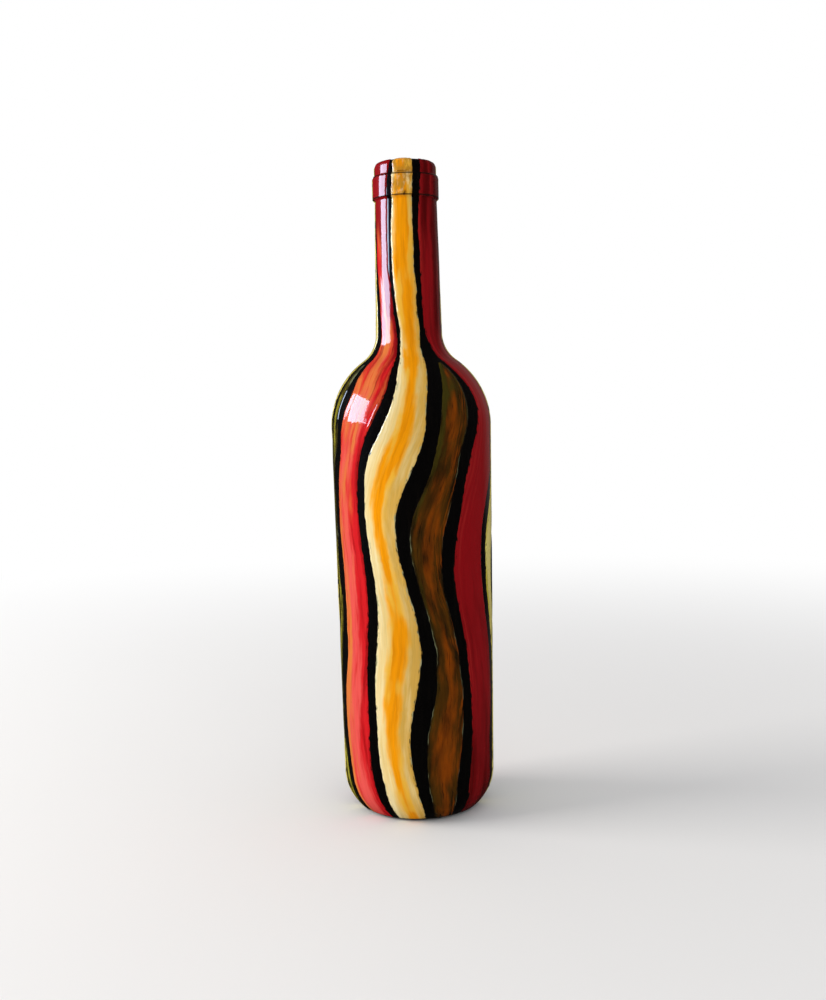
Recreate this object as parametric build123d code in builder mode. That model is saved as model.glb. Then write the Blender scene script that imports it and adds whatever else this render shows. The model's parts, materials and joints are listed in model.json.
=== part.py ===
"""A painted 750 ml wine bottle: the glass, a brushed ground coat and the stripes laid over it.

Millimetres and degrees. The origin is the middle of the ring that the bottle stands on, +Z is up,
and the front of the bottle faces -Y.
"""

import os
from math import acos, atan, cos, degrees, pi, radians, sin, sqrt

from build123d import *

# Glass inside
bore_radius = 9.25  # mouth for a cork
bore_length = 45.0
mouth_edge = 1.0
throat_lean = 1.9  # the neck opens below the bore
throat_root_radius = 20.0
body_wall = 3.4
floor_corner = 6.0  # inside arc between the floor and the body
punt_wall = 4.5  # floor over the push-up

# Glass outside, from the foot up
bottle_height = 300.0
bearing_width = 2.4  # flat ring that the bottle stands on
heel_foot_radius = 4.0  # tight arc beside the bearing ring
heel_radius = 21.4  # wide arc above it
heel_turn = 51.0  # how far below level the wide arc reaches
punt_depth = 18.0  # push-up in the middle of the foot
punt_edge = 1.6  # round between the bearing ring and the push-up
body_radius = 36.8  # at the shoulder
body_lean = 0.6  # the body narrows towards the heel
shoulder_drop = 119.7  # from the rim down to the centre of the shoulder's arc
shoulder_radius = 36.55
root_radius = 16.05  # hollow arc from the shoulder into the neck
neck_wall = 4.6  # around the bore, under the collar
neck_lean = 1.05  # the neck narrows towards the collar

# Finish, the thick ring round the mouth
finish_height = 16.5  # from the foot of the collar to the rim
collar_height = 9.4
collar_step = 1.05  # the collar stands this far out of the neck
collar_slope = 1.5  # height of the slope under the collar
lip_step = 1.0  # from the collar in to the lip
lip_slope = 1.7  # height of the slope between them
lip_edge = 2.4  # round from the lip to the rim

# Paint, as thick as brushed films are
ground_film = 0.2
stripe_film = 0.25
core_film = 0.15
coat_wrap = 9.0  # how far round the heel's tight arc the ground coat reaches
stripe_wrap = 4.0
stripe_rim_gap = 0.5  # the stripes stop this far outside the mouth

# Stripes: where each one's edges would stand without the waves, in degrees round the axis from
# the front, positive to the right as seen there
stripe_spans = {
    "cream_band_front": (-27.0, 1.0),
    "brown_band_front": (12.0, 33.0),
    "red_band_right": (42.0, 70.0),
    "yellow_band_right": (78.0, 92.0),
    "olive_band_right": (100.0, 120.0),
    "coral_band_back": (129.0, 157.0),
    "cream_band_back": (167.0, 195.0),
    "brown_band_back": (203.0, 226.0),
    "red_band_left": (234.0, 254.0),
    "yellow_band_left": (263.0, 274.0),
    "olive_band_left": (281.0, 294.0),
    "coral_band_left": (301.0, 326.0),
}
core_spans = {
    "amber_core_front": (-20.0, -6.0),
    "amber_core_back": (174.0, 188.0),
}
# Strokes that end in a round tip at the shoulder
tipped_strokes = ("brown_band_front", "olive_band_right", "brown_band_back", "olive_band_left")
tip_rise = 28.7  # from the centre of the shoulder's arc up to a tip's end
tip_length = 31.0  # height over which a tip narrows
# The other strokes spread past the tips, and have these edges on the neck
neck_spans = {
    "cream_band_front": (-26.0, 11.0),
    "red_band_right": (22.0, 78.0),
    "yellow_band_right": (85.0, 101.0),
    "coral_band_back": (109.0, 152.0),
    "cream_band_back": (160.0, 203.0),
    "red_band_left": (211.0, 256.0),
    "yellow_band_left": (263.0, 277.0),
    "coral_band_left": (288.0, 327.0),
    "amber_core_front": (-20.0, 5.0),
    "amber_core_back": (167.0, 196.0),
}
spread_lead = 19.0  # they begin to spread this far below the tips' ends
spread_length = 36.0  # height over which they spread
# Waves that carry the edges round: sway in degrees, turns over the bottle's height, turns round
# the bottle, and where the wave starts in turns
waves = ((8.0, 1.2, 0, 0.35), (7.0, 2.6, 1, 0.55), (2.2, 3.4, 5, 0.3))
stations = 21  # levels at which a stripe's edges are set out
tip_shares = (0.35, 0.65, 0.85, 0.96)  # of a tip's length, further levels in it
cutter_reach_share = 1.5  # of the body's radius, outer edge of a stripe's cutter
overrun = 6.0  # how far a cutter passes the ends of what it cuts


def polar(centre, radius, angle):
    """The point at an angle round a centre."""
    return (centre[0] + radius * cos(radians(angle)), centre[1] + radius * sin(radians(angle)))


def along(point, angle):
    """How far out a point lies in the direction of an angle."""
    return point[0] * cos(radians(angle)) + point[1] * sin(radians(angle))


def on_line(distance, lean, height):
    """The point at a height on the line that leans and lies a distance out."""
    return ((distance - height * sin(radians(lean))) / cos(radians(lean)), height)


def dome_centre(apex, corner, radius):
    """Height of the centre of a dome with its apex on the axis, which meets an arc smoothly."""
    top = apex + radius
    return (top**2 - corner[0] ** 2 - corner[1] ** 2) / (2 * (top - corner[1]))


def root_turn(neck_distance, lean, hollow, arc_radius):
    """Where round the shoulder's arc a hollow arc leaves it, to run into the neck's line."""
    gap = neck_distance + hollow - along(shoulder_centre, lean)
    return lean + degrees(acos(gap / (arc_radius + hollow)))


# Centres of the outline's arcs and the lines between them, as (distance from the axis, height)
shoulder_centre = (body_radius - shoulder_radius, bottle_height - shoulder_drop)
body_line = along(shoulder_centre, -body_lean) + shoulder_radius
heel_reach = heel_radius - heel_foot_radius
heel_height = heel_foot_radius + heel_reach * sin(radians(heel_turn))
heel_centre = on_line(body_line - heel_radius, -body_lean, heel_height)
foot_centre = polar(heel_centre, heel_reach, -heel_turn)
bearing_radius = foot_centre[0]

punt_corner = (bearing_radius - bearing_width, punt_edge)
punt_centre = (0, dome_centre(punt_depth, punt_corner, punt_edge))
punt_radius = punt_depth - punt_centre[1]

collar_bottom = bottle_height - finish_height
collar_top = collar_bottom + collar_height
neck_radius = bore_radius + neck_wall
collar_radius = neck_radius + collar_step
lip_radius = collar_radius - lip_step
under_turn = -degrees(atan(collar_step / collar_slope))
over_turn = degrees(atan(lip_step / lip_slope))
neck_line = along((neck_radius, collar_bottom), neck_lean)
rim_radius = bore_radius + mouth_edge

tip_height = shoulder_centre[1] + tip_rise
tip_foot = tip_height - tip_length
spread_foot = tip_height - spread_lead


def mitred(corner, film, turn_under, turn_over):
    """The corner of a film that lies over an outline's corner, between the ways the runs there face."""
    return polar(corner, film / cos(radians(turn_over - turn_under) / 2), (turn_under + turn_over) / 2)


def draw_outside(film, wrap, end_radius, side_run):
    """Draws the bottle's outside under a film of paint, from the heel to the rim, and returns its ends."""
    turn = root_turn(neck_line, neck_lean, root_radius, shoulder_radius)
    root_centre = polar(shoulder_centre, shoulder_radius + root_radius, turn)
    hollow = root_radius - film
    lip_centre = (lip_radius - lip_edge, bottle_height - lip_edge)
    foot_end = polar(foot_centre, heel_foot_radius + film, -heel_turn - wrap)
    rim_end = (end_radius, bottle_height + film)
    collar_foot = mitred((neck_radius, collar_bottom), film, neck_lean, under_turn)

    CenterArc(foot_centre, heel_foot_radius + film, -heel_turn - wrap, wrap)
    CenterArc(heel_centre, heel_radius + film, -heel_turn, heel_turn - body_lean)
    side_run(
        polar(heel_centre, heel_radius + film, -body_lean),
        polar(shoulder_centre, shoulder_radius + film, -body_lean),
    )
    CenterArc(shoulder_centre, shoulder_radius + film, -body_lean, turn + body_lean)
    CenterArc(root_centre, hollow, turn + 180, neck_lean - turn)
    side_run(polar(root_centre, hollow, neck_lean + 180), collar_foot)
    Polyline(
        collar_foot,
        mitred((collar_radius, collar_bottom + collar_slope), film, under_turn, 0),
        mitred((collar_radius, collar_top), film, 0, over_turn),
        mitred((lip_radius, collar_top + lip_slope), film, over_turn, 0),
        polar(lip_centre, lip_edge + film, 0),
    )
    CenterArc(lip_centre, lip_edge + film, 0, 90)
    Line(polar(lip_centre, lip_edge + film, 90), rim_end)
    return foot_end, rim_end


def draw_foot():
    """Draws the bearing ring and the push-up, from the heel in to the axis."""
    edge_turn = degrees(atan((punt_corner[1] - punt_centre[1]) / punt_corner[0]))
    Line((bearing_radius, 0), (punt_corner[0], 0))
    CenterArc(punt_corner, punt_edge, -90, edge_turn - 90)
    CenterArc(punt_centre, punt_radius, edge_turn, 90 - edge_turn)


def draw_inside():
    """Draws the inside of the glass, from the axis up to the mouth."""
    floor_radius = punt_radius + punt_wall
    # the corner's arc touches the body's inner wall and the floor's dome
    corner_line = body_line - body_wall - floor_corner
    corner_reach = floor_radius + floor_corner
    corner_turn = degrees(acos((corner_line - along(punt_centre, -body_lean)) / corner_reach)) - body_lean
    corner = polar(punt_centre, corner_reach, corner_turn)
    arc_radius = shoulder_radius - body_wall
    bore_foot = (bore_radius, bottle_height - bore_length)
    turn = root_turn(along(bore_foot, throat_lean), throat_lean, throat_root_radius, arc_radius)
    root_centre = polar(shoulder_centre, arc_radius + throat_root_radius, turn)
    mouth_centre = (rim_radius, bottle_height - mouth_edge)

    CenterArc(punt_centre, floor_radius, corner_turn, 90 - corner_turn)
    CenterArc(corner, floor_corner, corner_turn + 180, 180 - corner_turn - body_lean)
    Line(polar(corner, floor_corner, -body_lean), polar(shoulder_centre, arc_radius, -body_lean))
    CenterArc(shoulder_centre, arc_radius, -body_lean, turn + body_lean)
    CenterArc(root_centre, throat_root_radius, turn + 180, throat_lean - turn)
    Polyline(
        polar(root_centre, throat_root_radius, throat_lean + 180),
        bore_foot,
        polar(mouth_centre, mouth_edge, 180),
    )
    CenterArc(mouth_centre, mouth_edge, 180, -90)


def draw_film(under, film, wrap, end_radius, side_run):
    """Draws the closed section of a film of paint that lies over the films under it."""
    inner_ends = draw_outside(under, wrap, end_radius, side_run)
    outer_ends = draw_outside(under + film, wrap, end_radius, side_run)
    for inner_end, outer_end in zip(inner_ends, outer_ends):
        Line(inner_end, outer_end)


def swayed(angle, height):
    """Where the waves carry a stripe's edge at a height."""
    for sway, up, around, start in waves:
        angle += sway * sin(2 * pi * (up * height / bottle_height + start) + around * radians(angle))
    return angle


def edges_at(name, span, height):
    """Where a stroke's two edges stand at a height, waves, spread and tip included."""
    rise = min(max((height - spread_foot) / spread_length, 0), 1)
    spread = rise**2 * (3 - 2 * rise)
    edges = [edge + spread * (end - edge) for edge, end in zip(span, neck_spans.get(name, span))]
    if name in tipped_strokes:
        middle = sum(edges) / 2
        climb = max(height - tip_foot, 0) / tip_length
        edges = [middle + (edge - middle) * sqrt(1 - climb**2) for edge in edges]
    return [swayed(edge, height) for edge in edges]


def levels(name):
    """Heights at which a stroke's edges are set out, past the bottle's foot and rim or up into a tip."""
    top = tip_foot if name in tipped_strokes else bottle_height + overrun
    heights = [(top + overrun) * station / (stations - 1) - overrun for station in range(stations)]
    if name in tipped_strokes:
        heights += [tip_foot + share * tip_length for share in tip_shares]
    return heights


def finish(part, name):
    """Labels a finished piece and writes its file."""
    part.label = name
    export_step(part, f"parts/{name}.step")


os.makedirs("parts", exist_ok=True)

# Glass bottle
with BuildPart() as glass_bottle:
    with BuildSketch(Plane.XZ):
        with BuildLine():
            draw_outside(0, 90 - heel_turn, rim_radius, Line)
            draw_foot()
            draw_inside()
            Line((0, punt_depth), (0, punt_depth + punt_wall))
        make_face()
    revolve(axis=Axis.Z)
finish(glass_bottle.part, "glass_bottle")

# Ground coat, all over the outside down to the heel
with BuildPart() as ground_coat:
    with BuildSketch(Plane.XZ):
        with BuildLine():
            draw_film(0, ground_film, coat_wrap, rim_radius, Line)
        make_face()
    revolve(axis=Axis.Z)
finish(ground_coat.part, "ground_coat")


def paint_stroke(name, span, under, film):
    """Makes one stroke of paint: a film from heel to rim, cut to its two swayed edges."""
    reach = cutter_reach_share * body_radius
    with BuildPart() as stroke:
        with BuildSketch(Plane.XZ):
            with BuildLine():
                # a straight curve, since facets on a plain cone would cut across the stroke from edge to edge
                draw_film(under, film, stripe_wrap, rim_radius + stripe_rim_gap, Bezier)
            make_face()
        revolve(axis=Axis.Z)
        for height in levels(name):
            # the front is -Y, a quarter turn before +X
            corners = [polar((0, 0), reach, edge - 90) for edge in edges_at(name, span, height)]
            with BuildSketch(Plane.XY.offset(height)):
                with BuildLine():
                    Polyline((0, 0), *corners, close=True)
                make_face()
        loft(mode=Mode.INTERSECT)
    finish(stroke.part, name)


for stripe_name, stripe_span in stripe_spans.items():
    paint_stroke(stripe_name, stripe_span, ground_film, stripe_film)
for core_name, core_span in core_spans.items():
    paint_stroke(core_name, core_span, ground_film + stripe_film, core_film)
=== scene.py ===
"""Dresses the painted wine bottle: glass, a black ground coat, and stripes brushed on from foot to lip.

Metres, +Z up, the bottle's front towards -Y. A place on the bottle is given by how far it lies up the
outline from the foot, its angle round the axis from the front, and its height over the glass.
"""

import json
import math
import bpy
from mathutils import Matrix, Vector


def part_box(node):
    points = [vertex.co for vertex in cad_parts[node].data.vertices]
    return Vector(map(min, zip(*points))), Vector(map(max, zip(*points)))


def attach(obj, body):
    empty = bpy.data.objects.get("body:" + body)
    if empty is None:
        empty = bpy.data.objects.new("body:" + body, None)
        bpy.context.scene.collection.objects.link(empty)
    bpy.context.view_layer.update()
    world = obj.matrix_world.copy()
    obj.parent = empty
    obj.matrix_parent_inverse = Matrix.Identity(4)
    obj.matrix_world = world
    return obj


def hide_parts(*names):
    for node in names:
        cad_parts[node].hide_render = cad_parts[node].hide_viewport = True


bl_info = {
    "name": "Painted Bottle",
    "version": (1, 0, 0),
    "blender": (4, 5, 0),
    "location": "3D View > Sidebar > Bottle",
    "description": "Models a hand-painted, varnished wine bottle around its CAD frame",
    "category": "Object",
}

import bpy
import numpy as np
from bpy.props import FloatProperty, FloatVectorProperty, IntProperty, PointerProperty
from bpy.types import Operator, Panel, PropertyGroup
from mathutils import Matrix, Vector

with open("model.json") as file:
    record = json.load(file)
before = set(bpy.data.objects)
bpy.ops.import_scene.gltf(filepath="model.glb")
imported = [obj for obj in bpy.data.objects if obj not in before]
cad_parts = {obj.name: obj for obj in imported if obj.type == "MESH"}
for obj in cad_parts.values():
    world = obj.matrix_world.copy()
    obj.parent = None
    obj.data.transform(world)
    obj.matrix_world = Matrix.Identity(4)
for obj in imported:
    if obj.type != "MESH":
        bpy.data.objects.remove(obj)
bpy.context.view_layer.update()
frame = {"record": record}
MM = 0.001
QUARTER_TURN = math.radians(90)
HALF_TURN = math.radians(180)
# Rows closer than this are one row
SAME_PLACE = 1e-7

GLASS_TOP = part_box("glass_bottle")[1]
COAT_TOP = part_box("ground_coat")[1]
STRIPE_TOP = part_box("cream_band_front")[1]
CORE_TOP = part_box("amber_core_front")[1]
MOUNTS = {mount["name"]: mount for mount in frame["record"]["mounts"]}
BORE_RADIUS = MOUNTS["mouth"]["dims"]["r_mm"] * MM
BORE_LENGTH = MOUNTS["mouth"]["dims"]["length_mm"] * MM

# Each stripe's edges on the body and on the neck, before the waves, in degrees from the front, and its
# paint. One with no edges on the neck ends in a round tip at the shoulder, and its neighbours spread
STRIPES = {
    "cream_band_front": ((-27, 1), (-26, 11), "cream"),
    "brown_band_front": ((12, 33), None, "brown"),
    "red_band_right": ((42, 70), (22, 78), "deep_red"),
    "yellow_band_right": ((78, 92), (85, 101), "yellow"),
    "olive_band_right": ((100, 120), None, "olive"),
    "coral_band_back": ((129, 157), (109, 152), "coral_red"),
    "cream_band_back": ((167, 195), (160, 203), "cream"),
    "brown_band_back": ((203, 226), None, "brown"),
    "red_band_left": ((234, 254), (211, 256), "deep_red"),
    "yellow_band_left": ((263, 274), (263, 277), "yellow"),
    "olive_band_left": ((281, 294), None, "olive"),
    "coral_band_left": ((301, 326), (288, 327), "coral_red"),
}
# Each amber core's edges in the same way, and the cream stripe that carries it
CORES = {
    "amber_core_front": ((-20, -6), (-20, 5), "cream_band_front"),
    "amber_core_back": ((174, 188), (167, 196), "cream_band_back"),
}
# Heights between which a tip narrows and its neighbours spread
TIP_FOOT, TIP_HEIGHT = 0.178, 0.209
SPREAD_FOOT, SPREAD_HEIGHT = 0.190, 0.226
# Sway in degrees, turns over the bottle's height, turns round the bottle, start in turns
WAVES = ((8.0, 1.2, 0, 0.35), (7.0, 2.6, 1, 0.55), (2.2, 3.4, 5, 0.3))
# Length and share of an edge's soft and of its fine wobble
WOBBLES = ((9 * MM, 0.75), (1.6 * MM, 0.35))

# Distances between rows of points, and numbers of columns round the bottle
LOOK_UP_STEP = 0.25 * MM
STROKE_STEP = 0.8 * MM
COAT_STEP = 0.9 * MM
GLASS_STEP = 1.5 * MM
COAT_COLUMNS = 180
GLASS_COLUMNS = 192
# The ends of a stroke: how ragged, over what length that fades, and how fast the film rises
FOOT_RAG, FOOT_FADE, FOOT_SLOPE = 1.3 * MM, 8 * MM, MM
RIM_RAG, RIM_FADE, RIM_SLOPE = 0.4 * MM, 4 * MM, 0.6 * MM
RAGS_ACROSS = 5
# The same for the ground coat's lower edge, with its share of the film's thickness there
COAT_RAG, COAT_FADE, COAT_SLOPE, COAT_RIM = 0.9 * MM, 6 * MM, 1.2 * MM, 0.15
# How far under a tip's point its last row lies
TIP_GAP = 0.3 * MM
# The bead along a stroke: its share of the film, how far in from the edge it lies, and its width
BEAD_SHARE, BEAD_INSET, BEAD_WIDTH = 0.2, 0.9 * MM, 0.5 * MM
# A film's rim lies this deep in what carries it, and the undersides of a stripe and of a core this deep
RIM_SINK, STRIPE_SINK, CORE_SINK = 0.01 * MM, 0.05 * MM, 0.09 * MM

# Shares of the height, from the middle, between which the shoulder passes into the neck
NECK_SHARES = (0.18, 0.28)
# The same for the foot of the collar
FINISH_SHARES = (0.436, 0.446)
# How far in from a stroke's edge its edge colours reach, in millimetres
EDGE_REACH = 3
# The ground showing through where the brush ran dry at a stroke's edge
DRY_EDGE = ("black_thin", (0.5, 3.6), (0, 0, 0.5, 0), 0.74, 0.82)
# The colours brushed over each paint's own: colour, cells in millimetres, how it leans across, to the
# middle, to the edges and up, and where its mask starts and is full
PAINTS = {
    "cream": (
        ("cream_light", (2.4, 34), (-0.5, 0, 0.15, 0), 0.5, 0.8),
        ("cream_warm", (4, 30), (0.6, 0, 0, 0), 0.5, 0.78),
        ("cream_thin", (0.8, 3.6), (0, 0, 0.45, 0), 0.68, 0.8),
        DRY_EDGE,
    ),
    "brown": (
        ("brown_warm", (4.5, 22), (0, 0.3, 0, -0.1), 0.44, 0.74),
        ("olive", (4, 16), (-0.35, 0, 0.35, 0.45), 0.40, 0.80),
        ("brown_dark", (5, 22), (0, 0, 0.1, 0), 0.36, 0.74),
        ("brown_dark", (3, 14), (0, 0, 0.8, 0), 0.48, 1),
        ("brown_warm", (0.9, 13), (0.3, 0, 0, 0), 0.6, 0.85),
        ("brown_dark", (0.45, 9), (0, 0, 0, 0), 0.56, 0.74),
        ("olive_grey", (4, 10), (0, 0, 0.9, 0), 0.9, 1.05),
        ("olive", (6, 12), (-0.1, 0, 0.2, 2), 0.62, 0.92),
    ),
    "deep_red": (
        ("deep_red_dark_and_shade", (4, 40), (0, 0, 0.1, -0.9), 0.58, 1.1),
        # painted shade: this layer darkens the red towards the neck
        ("deep_red_dark_and_shade", (3, 50), (0.2, 0, 0, 0.9), 0.62, 1),
        ("deep_red_light", (1.6, 44), (-0.2, 0, 0, 0), 0.56, 0.9),
        DRY_EDGE,
    ),
    "coral_red": (
        ("coral_deep", (2.4, 30), (0.7, 0, 0, -0.1), 0.7, 0.95),
        ("coral_pink", (4, 34), (-0.4, 0.4, 0, -0.2), 0.38, 0.68),
        ("coral_orange", (3.2, 40), (-0.9, 0, 0, -0.2), 0.62, 0.92),
        ("coral_orange", (3.6, 20), (-0.2, 0.2, 0, 0.9), 0.42, 0.86),
        ("coral_red", (3, 18), (-0.8, 0, 0, 0.9), 0.76, 1.1),
        ("coral_red", (1.3, 20), (0, 0, 0, 0.1), 0.5, 0.8),
        ("deep_red", (2.4, 40), (0.2, 0, 0, 1), 0.7, 0.92),
        DRY_EDGE,
    ),
    "yellow": (("yellow_deep", (2, 24), (0, 0, 0.3, 0), 0.5, 0.75), DRY_EDGE),
    "olive": (
        ("black", (3, 26), (0, 0, 0.2, 0), 0.44, 0.62),
        ("olive_grey", (4, 18), (0, 0, 0, 0), 0.58, 0.74),
        ("olive_dash", (0.8, 12), (0, 0.3, 0, -0.2), 0.56, 0.7),
    ),
}
# The same for what dirties cream and amber, which leans to the collar and lip only
SMUDGES = (
    ("ochre", (2, 6), (1,), 0.34, 0.62),
    ("cream_light", (2.2, 4), (1,), 0.5, 0.84),
    ("brown", (1.6, 3.6), (1,), 0.56, 0.84),
)


def length(description, default):
    """A size property in metres."""
    return FloatProperty(description=description, default=default, min=0, unit="LENGTH", precision=5)


def angle(description, degrees):
    """An angle property, given in degrees."""
    return FloatProperty(description=description, default=math.radians(degrees), subtype="ANGLE")


def linear(hex_colour):
    """An sRGB hex colour as the linear values that the shaders take."""
    parts = [int(hex_colour[place : place + 2], 16) / 255 for place in (1, 3, 5)]
    return [part / 12.92 if part <= 0.04045 else ((part + 0.055) / 1.055) ** 2.4 for part in parts]


def colour(description, hex_colour):
    """A paint colour property, given as an sRGB hex value."""
    shade = linear(hex_colour)
    return FloatVectorProperty(description=description, default=shade, subtype="COLOR", min=0, max=1)


def named(group):
    """Names each property of a group after its key."""
    for key, value in group.__annotations__.items():
        value.keywords["name"] = key.replace("_", " ").capitalize()
    return group


@named
class BottleShape(PropertyGroup):
    """Sizes of the glass that the frame's boxes and mounts don't give."""

    bearing_radius: length("Outer edge of the ring it stands on", 0.02465)
    bearing_width: length("Width of that ring", 0.0024)
    heel_foot_radius: length("Tight arc beside the ring", 0.004)
    heel_radius: length("Wide arc above it", 0.0214)
    heel_turn: angle("How far below level the wide arc reaches", 51)
    punt_depth: length("Push-up in the foot", 0.018)
    punt_edge: length("Round between the ring and the push-up", 0.0016)
    punt_wall: length("Floor over the push-up", 0.0045)
    floor_corner: length("Inside arc from floor to body", 0.006)
    body_wall: length("Thickness of the body's glass", 0.0034)
    body_lean: angle("The body narrows towards the heel", 0.6)
    shoulder_height: length("Centre of the shoulder's arc", 0.1803)
    shoulder_radius: length("Arc of the shoulder", 0.03655)
    root_radius: length("Hollow arc from shoulder to neck", 0.01605)
    neck_wall: length("Around the bore, under the collar", 0.0046)
    neck_lean: angle("The neck narrows towards the collar", 1.05)
    throat_lean: angle("The neck opens below the bore", 1.9)
    throat_root_radius: length("Inside arc from shoulder to neck", 0.02)
    finish_height: length("From the collar's foot to the rim", 0.0165)
    collar_height: length("Height of the collar's band", 0.0092)
    collar_step: length("The collar stands out of the neck", 0.00105)
    collar_round: length("Round on the collar's lower edge", 0.0006)
    collar_hollow: length("Hollow corner under the collar", 0.001)
    collar_shoulder: length("Round on the collar's upper edge", 0.0014)
    lip_hollow: length("Hollow corner under the lip", 0.0005)
    lip_step: length("From the collar in to the lip", 0.001)
    lip_edge: length("Round from the lip to the rim", 0.0024)
    mouth_edge: length("Round from the rim into the bore", 0.001)


@named
class PaintLook(PropertyGroup):
    """Brush marks and colours of the paint."""

    coat_wrap: angle("How far round the heel the ground coat reaches", 9)
    stripe_wrap: angle("How far round the heel the stripes reach", 4)
    rim_gap: length("The stripes stop this far outside the mouth", 0.0005)
    edge_wobble: length("A stripe's edge strays from its line", 0.0007)
    edge_slope: length("A film thins out over this width", 0.0007)
    ridge_height: length("Depth of the bristle marks", 0.00004)
    ridge_spacing: length("Distance between bristle marks", 0.0011)
    ridge_length: length("Length of a bristle mark", 0.022)
    streak_depth: FloatProperty(description="Share that dark streaks take off", default=0.13)
    core_feather: length("A core fades out over this width", 0.0025)
    across_cells: IntProperty(description="Cells across a stripe", default=48, min=12)
    black: colour("Ground coat", "#040303")
    black_thin: colour("Ground coat where it is thin", "#120e0a")
    cream: colour("Cream stripe", "#eed088")
    cream_light: colour("Cream where it is thick", "#f5e3ac")
    cream_warm: colour("Cream that took up some amber", "#dcae50")
    cream_thin: colour("Cream over black at the edge", "#b4b084")
    ochre: colour("Cream dirtied on the collar and lip", "#bd8526")
    amber: colour("Core of the cream stripe", "#fa9f03")
    amber_light: colour("Amber washed out into the cream", "#eeb43a")
    amber_deep: colour("Thick streaks in the core", "#e88a02")
    brown: colour("Brown glaze over the black", "#4e2f06")
    brown_warm: colour("Brown glaze where it is thick", "#8a4003")
    brown_dark: colour("Brown glaze where it is thin", "#221504")
    olive: colour("Green-brown glaze", "#40380c")
    olive_dash: colour("Yellow-green dashes in the glaze", "#a39a2c")
    olive_grey: colour("Grey-green patches in the glaze", "#6f7355")
    deep_red: colour("Red stripe", "#8f0c13")
    # also painted shade, darkening the red stripe towards the neck
    deep_red_dark_and_shade: colour("Red stripe where it is thin", "#560204")
    deep_red_light: colour("Red stripe where it is thick", "#a5201f")
    coral_red: colour("Clear red of the coral stripe", "#d01a20")
    coral_deep: colour("Coral red over black, at the right", "#a80d12")
    coral_pink: colour("Red that took up some white", "#e4544e")
    coral_orange: colour("Orange edge of the coral stripe", "#dc7a3a")
    yellow: colour("Lime yellow stripe", "#e6d678")
    yellow_deep: colour("Lime yellow where it is thin", "#bfae3a")
    glass_green: colour("Dark green bottle glass", "#4a6a3a")
    glass_green_deep: colour("Glass where it is thicker", "#38552c")


@named
class StudioSetup(PropertyGroup):
    """Camera, lamps and floor."""

    camera_distance: length("From the bottle's axis", 0.5466)
    camera_height: length("Over the floor", 0.1935)
    camera_pitch: angle("Down from level", 5.05)
    camera_roll: angle("Clockwise", 1.40)
    camera_lens: FloatProperty(description="Focal length, in mm on 36 mm film", default=41.97)
    floor_colour: colour("Pale floor", "#e9e8e6")
    window_width: length("Width of the soft light", 0.75)
    window_rise: length("Height of the soft light", 0.6)
    window_base: length("Height of its lower edge", 0.27)
    window_distance: length("From the bottle's axis", 1.2)
    window_turn: angle("Round from the camera, towards the left", 86)
    window_shine: FloatProperty(description="Power of the window's reflection", default=22)
    window_power: FloatProperty(description="Power of the window's soft light", default=14.5)
    fill_power: FloatProperty(description="Power of the fill light", default=3.5)


SETTINGS = {"bottle_shape": BottleShape, "bottle_paint": PaintLook, "bottle_studio": StudioSetup}


# Outlines: half-sections of the bottle as arcs joined by straight runs


def polar(centre, radius, turn):
    """The point at a distance and an angle from a centre."""
    return np.array([centre[0] + radius * math.cos(turn), centre[1] + radius * math.sin(turn)])


def along(point, turn):
    """How far out a point lies in the direction of an angle."""
    return point[0] * math.cos(turn) + point[1] * math.sin(turn)


def on_line(distance, lean, height):
    """The point at a height on a straight line that leans and lies a distance out from the origin."""
    return np.array([(distance - height * math.sin(lean)) / math.cos(lean), height])


def root_turn(line, lean, hollow, centre, radius):
    """Angle at which a round meets the hollow that runs into a line: their centres lie both radii apart."""
    return lean + math.acos((line + hollow - along(centre, lean)) / (radius + hollow))


def step_turn(step, hollow, edge):
    """How far a hollow and a round turn to cross a step: both radii times one less the cosine."""
    return math.acos(1 - step / (hollow + edge))


def sample(arcs, spacing, turn_step=math.radians(9)):
    """Rows along an outline: place, outward direction and distance run, for each.

    Each arc is its centre, radius, first and last angle, and side: 1 on a round, -1 in a hollow, where
    the outward direction points at the centre. Between arcs, place and direction are straight blends."""
    points, normals = [], []
    for centre, radius, first, last, side in arcs:
        sweep = abs(last - first)
        count = max(2, math.ceil(radius * sweep / spacing), math.ceil(sweep / turn_step) + 1)
        turns = np.linspace(first, last, count)
        spokes = np.stack([np.cos(turns), np.sin(turns)], 1)
        rows = np.asarray(centre) + radius * spokes
        if points:
            gap = np.linalg.norm(rows[0] - points[-1][-1])
            share = np.linspace(0, 1, max(1, math.ceil(gap / spacing)) + 1)[1:-1, None]
            points.append(points[-1][-1] * (1 - share) + rows[0] * share)
            normals.append(normals[-1][-1] * (1 - share) + side * spokes[0] * share)
        points.append(rows)
        normals.append(side * spokes)
    points = np.concatenate(points)
    normals = np.concatenate(normals)
    steps = np.linalg.norm(np.diff(points, axis=0), axis=1)
    keep = np.concatenate([[True], steps > SAME_PLACE])
    points, normals = points[keep], normals[keep]
    run = np.concatenate([[0], np.cumsum(np.linalg.norm(np.diff(points, axis=0), axis=1))])
    return points, normals / np.linalg.norm(normals, axis=1, keepdims=True), run


def shoulder_centre(shape):
    """Centre of the shoulder's arc, outside and inside."""
    return np.array([GLASS_TOP.x - shape.shoulder_radius, shape.shoulder_height])


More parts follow.
